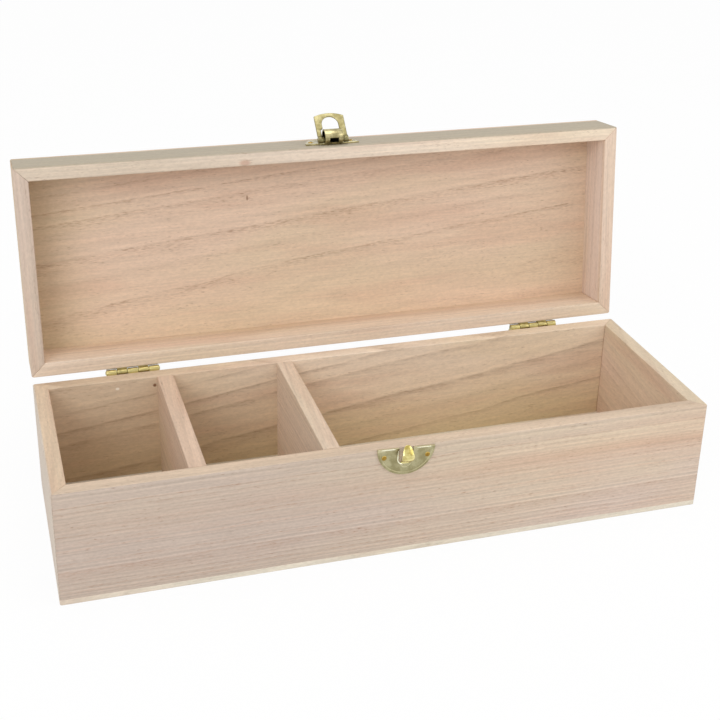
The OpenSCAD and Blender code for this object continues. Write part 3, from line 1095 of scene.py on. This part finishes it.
    def edge_beads(self) -> list[np.ndarray]:
        """Beads along both halves of the flat edge and down the left side of the notch."""
        half, soft, inset = self.notch_width / 2, self.notch_round, self.bead_inset
        gap, (start, end) = self.notch_bead_gap, self.bead_ends
        across = np.linspace(half + start, self.radius - end, 15)
        right = np.stack([across, np.full_like(across, -inset)], axis=1)
        down = np.linspace(-self.notch_bead_top, soft - self.hook_root, 9)[:-1]
        straight = np.stack([np.full_like(down, -half - gap), down], axis=1)
        turn = corner_arc((soft - half, soft - self.hook_root), soft + gap, 180, 8)
        return [
            self.bead(right, inset, self.bead_rise),
            self.bead(right * np.array([-1.0, 1.0]), inset, self.bead_rise),
            self.bead(np.concatenate([straight, turn]), self.notch_bead, self.notch_bead_rise),
        ]

    def darken_bore(self, mesh: bpy.types.Mesh) -> None:
        """Give the near black finish of painted shade to the faces inside the roll and round its window.

        A face is inside where the distance of its middle from the roll's axis is under the roll's
        radius less a third of the sheet.

        Args:
            mesh: The hasp plate's mesh.
        """
        lean = math.radians(self.eye_lean)
        reach = self.eye_radius - self.thick - self.stub - self.pin_fit
        away = SIZES.depth / 2 + self.pivot_out + reach * math.cos(lean)
        up = SIZES.lid_z + self.pivot_lift + reach * math.sin(lean)
        middles = np.empty(len(mesh.polygons) * 3)
        mesh.polygons.foreach_get("center", middles)
        off = middles.reshape(-1, 3) / MM - np.array(SIZES.open_lid() @ Vector((self.hasp_x, -away, up)))
        inside = np.hypot(off[:, 1], off[:, 2]) < self.eye_radius - self.thick / 3
        inside &= np.abs(off[:, 0]) < self.eye_width / 2 - 0.05
        mesh.polygons.foreach_set("material_index", inside.astype(np.int32))

    def loop_rows(self) -> np.ndarray:
        """Rings of the loop's ribbon, from one leg's end round the arch to the other.

        Down the legs the inner edge steps in from the leg's width to the window's by a smooth step.
        Round the arch both edges lie on rays from the window's centre: the inner one at the window's
        radius, the outer one where the ray meets the flank or the arched end. A ring's section is a
        rounded rectangle between the two edges.
        """
        half, window = self.loop_width / 2, self.window / 2
        centre = self.loop_length - self.loop_bar - window
        leg = np.linspace(0.0, centre, 18)[:-1]
        step = np.clip(leg - self.leg_step + 0.5, 0, 1)
        step = step * step * (3 - 2 * step)
        leg_inner = self.eye_width / 2 + self.leg_gap
        inner_leg = np.stack([leg_inner + (window - leg_inner) * step, -leg], axis=1)
        outer_leg = np.stack([np.full_like(leg, half), -leg], axis=1)
        corner = math.degrees(math.atan2(self.loop_length - self.loop_arch - centre, half))
        near = corner + np.array([-1.2, 0.0, 1.2])
        turn = np.radians(np.sort(np.concatenate([np.linspace(0, 180, 49), near, 180 - near])))
        ray = rays(-turn)
        arch = (half ** 2 + self.loop_arch ** 2) / (2 * self.loop_arch)
        drop = arch - self.loop_length + centre
        along = ray[:, 1] * drop
        to_arch = along + np.sqrt(np.maximum(along ** 2 - drop ** 2 + arch ** 2, 0.0))
        to_flank = half / np.maximum(np.abs(ray[:, 0]), 1e-6)
        sharp = self.loop_corner
        reach = (to_arch ** -sharp + to_flank ** -sharp) ** (-1 / sharp)
        middle = np.array([0.0, -centre])
        mirror = np.array([-1.0, 1.0])
        inner = np.concatenate([inner_leg, middle + window * ray, inner_leg[::-1] * mirror])
        outer = np.concatenate([outer_leg, middle + reach[:, None] * ray, outer_leg[::-1] * mirror])
        width = np.linalg.norm(outer - inner, axis=1)[:, None]
        section = rounded_section((2.0, self.loop_thick), (self.loop_ease,) * 4)
        far = section[:, 0] >= 1.0
        share = far + (section[:, 0] - 2.0 * far) / width
        flat = inner[:, None] * (1 - share[..., None]) + outer[:, None] * share[..., None]
        return standing(flat, section[:, 1] - self.loop_thick / 2)

    def build_loop(self, brass: bpy.types.Material) -> None:
        """Make the loop with its round leg ends and pivot stubs."""
        place = self.loop_place()
        shell = Shell()
        shell.loft(self.loop_rows(), place)
        start = self.eye_width / 2 - self.stub_length
        inner, outer = self.eye_width / 2 + self.leg_gap, self.loop_width / 2
        soft, slight, end = self.leg_ease, self.leg_ease * 0.3, self.leg_end
        outline = [
            (start, self.stub * 0.5), (start + 0.1, self.stub), (inner, self.stub), (inner, end - soft),
            (inner + slight, end - slight), (inner + soft, end), (outer - soft, end),
            (outer - slight, end - slight), (outer, end - soft), (outer, 0.2),
        ]
        for turn in (0, 180):
            shell.revolve(outline, place @ spin(turn, "Z"), 32)
        hang(shell.mesh("clasp_loop"), "clasp_loop", Body.LOOP, Slot.BRASS, brass)

    def catch_outline(self) -> np.ndarray:
        """Outline of the catch plate: a half disc below a flat edge, with a round-bottomed notch in it.

        Returns:
            Points shaped (n, 2), across and up from the middle of the flat edge.
        """
        half, soft = self.notch_width / 2, self.notch_round
        low = soft - self.hook_root
        disc = self.radius * rays(np.radians(np.linspace(180, 360, 73)))
        right = corner_arc((half - soft, low), soft, 270, 6)[::-1]
        left = corner_arc((soft - half, low), soft, 180, 6)[::-1]
        return np.concatenate([disc, [[half, 0.0]], right, left, [[-half, 0.0]]])

    def plate_rows(self, outline: np.ndarray) -> np.ndarray:
        """Rings of a flat plate from its back to its front, drawn in by a quarter circle at the front.

        A point is drawn in along the sum of its two edges' normals, over one plus their product.

        Args:
            outline: Outline of the plate, anticlockwise.

        Returns:
            Rings shaped (rings, points, 3).
        """
        edge = np.roll(outline, -1, axis=0) - outline
        edge = edge / np.linalg.norm(edge, axis=1, keepdims=True)
        normal = np.stack([-edge[:, 1], edge[:, 0]], axis=1)
        before = np.roll(normal, 1, axis=0)
        inward = (normal + before) / (1 + np.sum(normal * before, axis=1, keepdims=True))
        turn = np.radians(np.linspace(0, 90, 4))
        soft = self.plate_ease
        inset = np.concatenate([[0.0], soft * (1 - np.cos(turn))])
        out = np.concatenate([[0.0], self.thick - soft + soft * np.sin(turn)])
        return standing(outline[None] + inset[:, None, None] * inward[None], -out[:, None])

    def hook_rows(self) -> np.ndarray:
        """Rings of the hook, a crowned tongue carried along its side profile.

        The profile leaves the plate round a small bend, runs out along a slope, turns up round the
        belly and ends in a straight tip. The half width swells by a sine from the neck to the belly
        and closes in a quarter circle at the tip. A ring is flat inside and crowned outside.
        """
        lean, back = math.radians(self.hook_lean), math.radians(self.hook_return)
        bend = np.array([self.thick / 2 + self.hook_bend, -self.hook_root])
        angle_a = np.linspace(math.pi, math.pi - lean, 7)
        angle_b = np.linspace(-lean, back, 15)
        start = bend + self.hook_bend * rays(angle_a)
        slope_end = start[-1] + self.hook_slope * np.array([math.sin(lean), math.cos(lean)])
        belly = slope_end + self.hook_belly * np.array([-math.cos(lean), math.sin(lean)])
        around = belly + self.hook_belly * rays(angle_b)
        shares = np.array(self.hook_tip_shares)
        tip = self.hook_tip * shares[:, None] * np.array([-math.sin(back), math.cos(back)])
        spine = np.concatenate([start, around, around[-1] + tip])
        out = rays(np.concatenate([angle_a + math.pi, angle_b, np.full(len(shares), back)]))
        share = np.linspace(0, 1, len(spine))
        swell = np.sin(np.pi * np.clip((share - 0.15) / 0.75, 0, 1)) ** 1.2
        close = np.ones(len(spine))
        close[-len(shares):] = np.sqrt(1 - shares ** 2.6)
        half = (self.hook_neck + (self.hook_width - self.hook_neck) * swell) / 2 * (0.12 + 0.88 * close)
        crown = (self.thick / 2 + (self.hook_crown - self.thick / 2) * swell) * (0.25 + 0.75 * close)
        inside = -self.thick / 2 * (0.3 + 0.7 * close)
        side, rise = rays(full_turn(32)).T
        across = half[:, None] * np.sign(side) * np.abs(side) ** 0.8
        rise = np.where(
            rise > 0, crown[:, None] * np.abs(rise) ** 0.9, inside[:, None] * np.abs(rise) ** 0.5
        )
        profile = spine[:, None] + rise[..., None] * out[:, None]
        return np.stack([across, -profile[..., 0], profile[..., 1]], axis=-1)

    def build(self, metals: dict[str, bpy.types.Material]) -> None:
        """Make the clasp.

        Args:
            metals: The metals by name.
        """
        place = self.catch_place()
        catch = Shell()
        for rows in (self.raised_line(-1), self.plate_rows(self.catch_outline()), self.pressed_ring()):
            catch.loft(rows, place)
        # The hook takes a finish with a painted highlight.
        catch.loft(self.hook_rows(), place, 1)
        # The beads take a finish with a painted highlight.
        for bead in self.edge_beads():
            catch.loft(bead, place, 2)
        finishes = (metals[name] for name in ("plate", "bright", "polished"))
        hang(catch.mesh("catch_plate"), "catch_plate", Body.BOX, Slot.BRASS, *finishes)
        line = Shell()
        line.loft(self.raised_line(1), self.hasp_place())
        hasp = merged(softened("hasp_plate", self.plate_ease), line, "hasp_plate")
        self.darken_bore(hasp)
        # The faces inside the roll take the finish of painted shade.
        hang(hasp, "hasp_plate", Body.LID, Slot.BRASS, metals["roll"], metals["tarnished"])
        self.build_loop(metals["loop"])
        Nails("catch_nails", Body.BOX, self.nail_places(place, -1)).build(metals["nail"])
        Nails("hasp_nails", Body.LID, self.nail_places(self.hasp_place(), 1)).build(metals["nail"])


LID_RIM = ((0.0, (228, 207, 186)), (0.4, (228, 206, 184)), (1.0, (220, 196, 170)))
WOODS = {
    "front_wall": WoodFinish(
        strips=(
            (0.0, (208, 190, 177)),
            (0.42, (210, 190, 174)),
            (0.60, (212, 188, 168)),
            (0.70, (206, 176, 152)),
            (0.78, (217, 195, 171)),
            (0.85, (219, 199, 175)),
            (0.885, (204, 182, 162)),
            (0.95, (212, 194, 172)),
            (1.0, (202, 182, 164)),
        ),
        line=(176, 136, 112), line_strength=0.62, late_power=1.7, ring_pitch=4.0, pith=(26.0, -90.0),
        lean=(0.0, 0.003), wander=1.3, fleck_strength=0.4, dashed=0.7, fade_strength=0.75,
        blush_strength=0.15, rim_strength=0.85, streak_depth=0.075, seed=1.0,
    ),
    "back_wall": WoodFinish(
        # Darker and warmer towards the bottom, and greyer brown towards the left end: painted shade inside
        # the box.
        strips=((0.0, (216, 196, 160)), (0.55, (230, 208, 182)), (1.0, (234, 214, 192))),
        line=(128, 92, 66), line_strength=0.62, ring_pitch=12.0, pith=(-30.0, -60.0), lean=(0.02, -0.15),
        streak_depth=0.03, fibre_depth=0.035, wander=2.0, dashed=0.35, cast=(214, 190, 140),
        cast_strength=0.2, fade=(192, 166, 138), fade_ends=(150.0, 0.0), fade_strength=0.45, seed=2.0,
        knots=(
            Knot((103.4, 7.5, 52.0), (1.3, 3.0, 1.3), strength=0.95),
            Knot((122.8, 7.5, 52.4), (1.4, 2.0, 1.0), (246, 236, 222), 0.8),
        ),
    ),
    "left_wall": WoodFinish(
        # Greyish outer face: painted shade.
        outer=(208, 198, 186), outer_strength=0.7, seed=3.0, ring_pitch=5.0, pith=(40.0, -80.0),
        lean=(0.0, 0.03),
    ),
    "right_wall": WoodFinish(
        strips=((0.0, (218, 190, 172)), (0.7, (226, 202, 184)), (1.0, (218, 200, 176))),
        seed=4.0, ring_pitch=9.0, lean=(0.0, 0.16), line_strength=0.4, streak_depth=0.03, fibre_depth=0.04,
    ),
    "left_divider": WoodFinish(seed=5.0, ring_pitch=5.0, lean=(0.0, 0.04), line_strength=0.22),
    "right_divider": WoodFinish(
        strips=((0.0, (236, 216, 198)), (1.0, (219, 199, 178))),
        seed=6.0, ring_pitch=4.5, lean=(0.0, 0.06), line_strength=0.25,
    ),
    "bottom_panel": WoodFinish(
        strips=((0.0, (224, 215, 198)), (1.0, (224, 215, 198))),
        seed=7.0, ring_pitch=4.0, pith=(10.0, -30.0),
    ),
    "lid_front_rail": WoodFinish(
        # Olive-grey outer face, turned up when the lid stands open: painted shade.
        strips=((0.0, (238, 220, 199)), *LID_RIM[1:]), fade_strength=0.45, outer_strength=0.9, seed=8.0,
        ring_pitch=4.0, pith=(60.0, -50.0), lean=(0.0, 0.01), line_strength=0.2,
        knots=(Knot((-48.4, 5.5, 0.0), (4.0, 2.2, 2.0), (190, 146, 124), 0.6),),
    ),
    "lid_right_rail": WoodFinish(
        strips=((0.0, (226, 202, 182)), (0.15, (234, 216, 204)), (1.0, (232, 214, 202))),
        seed=9.0, ring_pitch=5.0, lean=(0.0, 0.03), line_strength=0.2,
    ),
    "lid_back_rail": WoodFinish(
        strips=LID_RIM, seed=10.0, ring_pitch=5.0, pith=(60.0, -50.0), lean=(0.0, 0.015), line_strength=0.2
    ),
    "lid_left_rail": WoodFinish(
        strips=((0.0, (206, 186, 170)), (0.3, (212, 188, 160)), (1.0, (208, 184, 154))),
        seed=11.0, ring_pitch=4.0, lean=(0.0, 0.02), line_strength=0.2,
    ),
    "lid_panel": WoodFinish(
        strips=((0.0, (228, 200, 172)), (0.5, (225, 198, 175)), (1.0, (221, 195, 173))),
        line=(150, 108, 82), line_strength=0.7, ring_pitch=9.0, pith=(48.0, 20.0), lean=(-0.03, 0.07),
        # Olive towards the left end: the painted shadow of the left rail.
        wander=3.4, dashed=0.8, streak_depth=0.03, fade=(184, 164, 126), fade_ends=(-163.0, -118.0),
        fade_strength=0.55, seed=12.0, knots=(Knot((-43.5, 0.0, 80.8), (0.8, 3.0, 2.0)),),
    ),
}
METALS = {
    "plate": MetalFinish(ground=(180, 173, 136), wear=0.35),
    # Hook: pale yellow with near white edges, a painted highlight.
    "bright": MetalFinish(
        ground=(236, 224, 156), cloud=(184, 166, 92), worn=(255, 252, 232),
        speck=(120, 100, 56), low_rough=0.12, high_rough=0.26,
    ),
    # Loop: dark edge colour, a painted dark reflection on its rounded edges.
    "loop": MetalFinish(
        ground=(178, 168, 124), cloud=(142, 132, 90), worn=(84, 78, 50), speck=(96, 84, 52),
        low_rough=0.22, high_rough=0.36, wear=0.8,
    ),
    "roll": MetalFinish(
        ground=(198, 186, 140), cloud=(120, 108, 68), worn=(226, 216, 170),
        speck=(84, 70, 42), low_rough=0.16, high_rough=0.3, wear=0.4,
    ),
    # Beads: near white, a painted highlight along the plate's edges.
    "polished": MetalFinish(
        ground=(252, 248, 218), cloud=(232, 222, 172), worn=(255, 255, 244),
        speck=(190, 176, 120), low_rough=0.12, high_rough=0.22,
    ),
    # Inside of the roll and round its window: near black, painted shade.
    "tarnished": MetalFinish(
        ground=(30, 26, 18), cloud=(16, 14, 10), worn=(40, 34, 24), speck=(12, 10, 8),
        low_rough=0.5, high_rough=0.7,
    ),
    "hinge": MetalFinish(
        ground=(158, 142, 84), cloud=(104, 90, 50), worn=(216, 202, 142), speck=(70, 56, 30),
        low_rough=0.28, high_rough=0.46,
    ),
    "nail": MetalFinish(
        ground=(170, 136, 62), cloud=(132, 98, 38), worn=(214, 188, 110), speck=(84, 58, 28),
        low_rough=0.3, high_rough=0.5,
    ),
}


def seen_directly(g: Graph) -> Socket:
    """Share that is 1 for rays from the camera, from gloss or through glass."""
    path = g.node("LightPath").outputs
    open_or_gloss = g.math("MAXIMUM", path["Is Camera Ray"], path["Is Glossy Ray"])
    return g.math("MAXIMUM", open_or_gloss, path["Is Transmission Ray"])


@dataclass(frozen=True)
class Lamp:
    """Square soft lamp, with its place and side in metres and its power in watts."""

    name: str
    spot: Point
    side: float
    power: float


@dataclass
class Studio:
    """White floor, soft light and the camera at the photograph's angle."""

    camera_spot: Point = (-183.544, -573.617, 379.432)
    yaw: float = 17.9248
    pitch: float = 23.8778
    roll: float = 1.5281
    lens: float = 66.04
    sensor: float = 36.0
    lens_shift: tuple[float, float] = (-0.02185, -0.08222)
    near_clip: float = 0.01
    floor_size: float = 14.0
    floor_drop: float = 0.05
    floor_tone: tuple[float, float] = (0.93, 0.95)
    floor_glow: float = 0.93
    world_strength: float = 0.67
    aim: Point = (0.0, 0.02, 0.08)
    lamps: tuple[Lamp, ...] = (
        Lamp("key", (-1.2, -1.4, 1.2), 1.0, 11.0),
        Lamp("fill", (1.5, -1.1, 1.0), 1.2, 6.5),
        Lamp("top", (0.1, -0.1, 2.0), 1.4, 8.0),
    )

    def camera(self) -> None:
        """Place the camera: its forward direction comes from yaw and pitch, its up from the roll."""
        yaw, pitch, roll = (math.radians(angle) for angle in (self.yaw, self.pitch, self.roll))
        forward = Vector((math.sin(yaw) * math.cos(pitch), math.cos(yaw) * math.cos(pitch), -math.sin(pitch)))
        level = forward.cross(Vector((0, 0, 1))).normalized()
        over = level.cross(forward)
        right = math.cos(roll) * level + math.sin(roll) * over
        up = -math.sin(roll) * level + math.cos(roll) * over
        data = bpy.data.cameras.new("camera")
        data.lens = self.lens
        data.sensor_width = self.sensor
        data.sensor_fit = "HORIZONTAL"
        data.shift_x, data.shift_y = self.lens_shift
        data.clip_start = self.near_clip
        camera = bpy.data.objects.new("camera", data)
        turn = Matrix((right, up, -forward)).transposed().to_4x4()
        camera.matrix_world = Matrix.Translation(Vector(self.camera_spot) * MM) @ turn
        bpy.context.scene.collection.objects.link(camera)
        bpy.context.scene.camera = camera

    def floor(self) -> None:
        """Lay a pale floor that looks white to the camera but keeps a light shadow."""
        half, low = self.floor_size / 2, -self.floor_drop * MM
        mesh = bpy.data.meshes.new("floor")
        corners = [(-half, -half, low), (half, -half, low), (half, half, low), (-half, half, low)]
        mesh.from_pydata(corners, [], [(0, 1, 2, 3)])
        floor = bpy.data.objects.new("floor", mesh)
        bpy.context.scene.collection.objects.link(floor)
        g = Graph(bpy.data.materials.new("floor_white"))
        mottle = g.step(g.noise(g.local(Matrix.Identity(4)), 0.01), 0.3, 0.7, *self.floor_tone)
        colour = g.node("CombineColor", None, Red=mottle, Green=mottle, Blue=mottle).outputs[0]
        diffuse = g.node("BsdfDiffuse", None, Color=colour)
        glow = g.node("Emission", None, Color=WHITE, Strength=1.0)
        share = g.product(seen_directly(g), self.floor_glow)
        mixed = g.node("MixShader", None, Fac=share, in_1=diffuse.outputs[0], in_2=glow.outputs[0])
        mesh.materials.append(g.surface(mixed))

    def world(self) -> None:
        """Soft even light from all sides, and plain white where it is seen directly."""
        world = bpy.data.worlds.new("world")
        bpy.context.scene.world = world
        g = Graph(world)
        strength = g.node("MapRange", None, Value=seen_directly(g), To_Min=self.world_strength, To_Max=1.0)
        g.surface(g.node("Background", None, Color=WHITE, Strength=strength.outputs[0]))

    def hang_lamp(self, lamp: Lamp) -> None:
        """Hang a lamp that looks at the box.

        Args:
            lamp: The lamp.
        """
        data = bpy.data.lights.new(lamp.name, "AREA")
        data.shape = "SQUARE"
        data.size = lamp.side
        data.energy = lamp.power
        light = bpy.data.objects.new(lamp.name, data)
        light.rotation_mode = "QUATERNION"
        light.rotation_quaternion = (Vector(self.aim) - Vector(lamp.spot)).to_track_quat("-Z", "Y")
        light.location = lamp.spot
        bpy.context.scene.collection.objects.link(light)

    def build(self) -> None:
        """Make the camera, floor, world and lamps."""
        self.camera()
        self.floor()
        self.world()
        for lamp in self.lamps:
            self.hang_lamp(lamp)
        bpy.context.scene.view_settings.view_transform = "Standard"


def main() -> None:
    """Build the studio and the box, one sub-assembly after the other."""
    logging.basicConfig(level=logging.INFO, format="%(name)s: %(message)s")
    Studio().build()
    WoodenBody().build()
    WoodenLid().build()
    metals = {name: finish.build(name + "_brass") for name, finish in METALS.items()}
    Hinges().build(metals)
    Clasp().build(metals)


if __name__ == "__main__":
    main()
